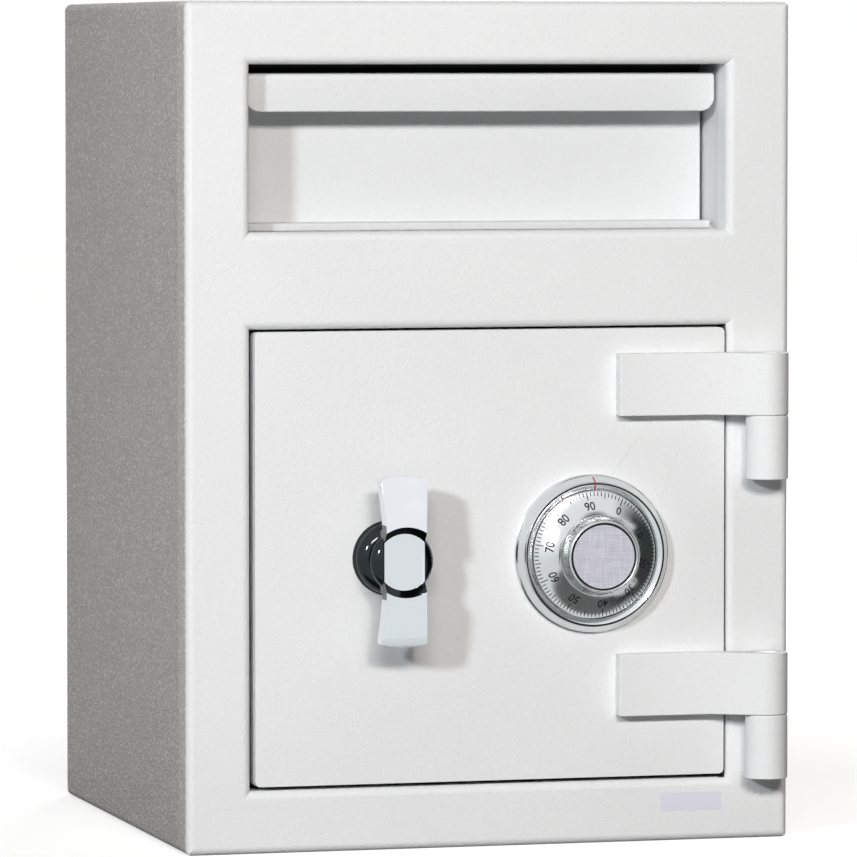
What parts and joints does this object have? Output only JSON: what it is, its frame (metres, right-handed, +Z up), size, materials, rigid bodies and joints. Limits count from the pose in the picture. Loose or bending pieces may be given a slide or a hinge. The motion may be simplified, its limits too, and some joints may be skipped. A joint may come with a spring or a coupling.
{
  "type": "drop safe",
  "caption": "Steel drop safe: tilt-out deposit hopper with a pull lip above, flush door on outside strap hinges below, with combination dial, T-handle and sliding boltwork.",
  "frame": {"origin": "centre of the body's footprint, on the floor", "axes": "+Z up, +X to the right seen from the front, the door and hopper face -Y"},
  "size_m": [0.37, 0.3707, 0.5],
  "materials": {
    "powder_coat": "matt, fine textured powder coat with small grey flecks",
    "inner_coat": "matt powder coat",
    "dark_primer": "matt dark primer",
    "label_paper": "blank coated paper",
    "bright_steel": "ground and bright plated",
    "zinc_steel": "zinc plated",
    "zinc_screws": "bright zinc plated",
    "brass": "machined",
    "die_cast": "as cast",
    "black_steel": "blackened",
    "ring_metal": "satin chrome with blue grey cast",
    "dial_metal": "satin chrome with black graduations",
    "handle_chrome": "bright chrome",
    "bush_nylon": "natural nylon"
  },
  "bodies": {
    "cabinet": {"body_wrap": "powder_coat", "front_frame": "powder_coat", "back_plate": "inner_coat", "serial_label": "label_paper", "upper_hinge_knuckle": "powder_coat", "lower_hinge_knuckle": "powder_coat", "hinge_pins": "bright_steel", "hinge_washers": "powder_coat", "hopper_jamb_left": "powder_coat", "hopper_jamb_right": "powder_coat", "fish_baffle": "dark_primer", "hopper_pivot_rod": "bright_steel", "pivot_rod_clips": "black_steel", "hopper_stop_studs": "bright_steel"},
    "hopper": {"hopper_front": "powder_coat", "hopper_side_left": "powder_coat", "hopper_side_right": "powder_coat", "hopper_floor": "powder_coat", "hopper_bushes": "bush_nylon"},
    "door": {"door_plate": "powder_coat", "upper_hinge_strap": "powder_coat", "lower_hinge_strap": "powder_coat", "dead_bar": "zinc_steel", "bolt_channel": "zinc_steel", "boltwork_cover": "zinc_steel", "cover_pillars": "zinc_steel", "cover_screws": "zinc_screws", "dial_ring": "ring_metal", "ring_screws": "zinc_screws", "spindle_tube": "brass", "lock_case": "die_cast", "lock_cover": "die_cast", "lock_cover_screws": "zinc_screws", "lock_mounting_screws": "zinc_screws", "wheel_post": "brass", "wheel_spacers": "black_steel", "post_clip": "black_steel", "handle_rosette": "handle_chrome", "handle_bush": "brass"},
    "handle": {"t_handle": "handle_chrome", "handle_spindle": "bright_steel", "handle_set_screw": "black_steel", "crank_plate": "zinc_steel", "crank_clip": "black_steel"},
    "boltwork": {"bolt_bar": "zinc_steel", "upper_locking_bolt": "bright_steel", "lower_locking_bolt": "bright_steel", "bolt_screws": "black_steel"},
    "dial_set": {"dial": "dial_metal", "dial_spindle": "bright_steel", "drive_cam": "brass", "spline_key": "bright_steel"},
    "front_wheel": {"wheel_front": "brass"},
    "middle_wheel": {"wheel_middle": "brass"},
    "rear_wheel": {"wheel_rear": "brass"},
    "lock_slide": {"lock_bolt": "brass", "lock_lever": "die_cast", "lever_screw": "zinc_screws", "lever_spring": "black_steel"}
  },
  "joints": [
    {"name": "door_swing", "type": "hinge", "parent": "cabinet", "child": "door", "pos_m": [0.167, -0.1782, 0.173], "axis": [0, 0, 1], "range_deg": [0, 180]},
    {"name": "hopper_tilt", "type": "hinge", "parent": "cabinet", "child": "hopper", "pos_m": [0, -0.131, 0.36], "axis": [1, 0, 0], "range_deg": [0, 50]},
    {"name": "handle_turn", "type": "hinge", "parent": "door", "child": "handle", "pos_m": [-0.0624, -0.165, 0.173], "axis": [0, -1, 0], "range_deg": [0, 60]},
    {"name": "bolt_slide", "type": "slide", "parent": "door", "child": "boltwork", "axis": [-1, 0, 0], "range_m": [0, 0.019]},
    {"name": "dial_spin", "type": "hinge", "parent": "door", "child": "dial_set", "pos_m": [0.0616, -0.165, 0.173], "axis": [0, -1, 0], "continuous": true},
    {"name": "front_wheel_spin", "type": "hinge", "parent": "door", "child": "front_wheel", "pos_m": [0.0616, -0.165, 0.173], "axis": [0, -1, 0], "continuous": true},
    {"name": "middle_wheel_spin", "type": "hinge", "parent": "door", "child": "middle_wheel", "pos_m": [0.0616, -0.165, 0.173], "axis": [0, -1, 0], "continuous": true},
    {"name": "rear_wheel_spin", "type": "hinge", "parent": "door", "child": "rear_wheel", "pos_m": [0.0616, -0.165, 0.173], "axis": [0, -1, 0], "continuous": true},
    {"name": "lock_bolt_slide", "type": "slide", "parent": "door", "child": "lock_slide", "axis": [-1, 0, 0], "range_m": [0, 0.0095]}
  ],
  "couplings": [
    {"joint": "bolt_slide", "follows": "handle_turn", "m_per_rad": 0.018143},
    {"joint": "front_wheel_spin", "follows": "dial_spin", "ratio": 1},
    {"joint": "middle_wheel_spin", "follows": "dial_spin", "ratio": 1},
    {"joint": "rear_wheel_spin", "follows": "dial_spin", "ratio": 1}
  ]
}
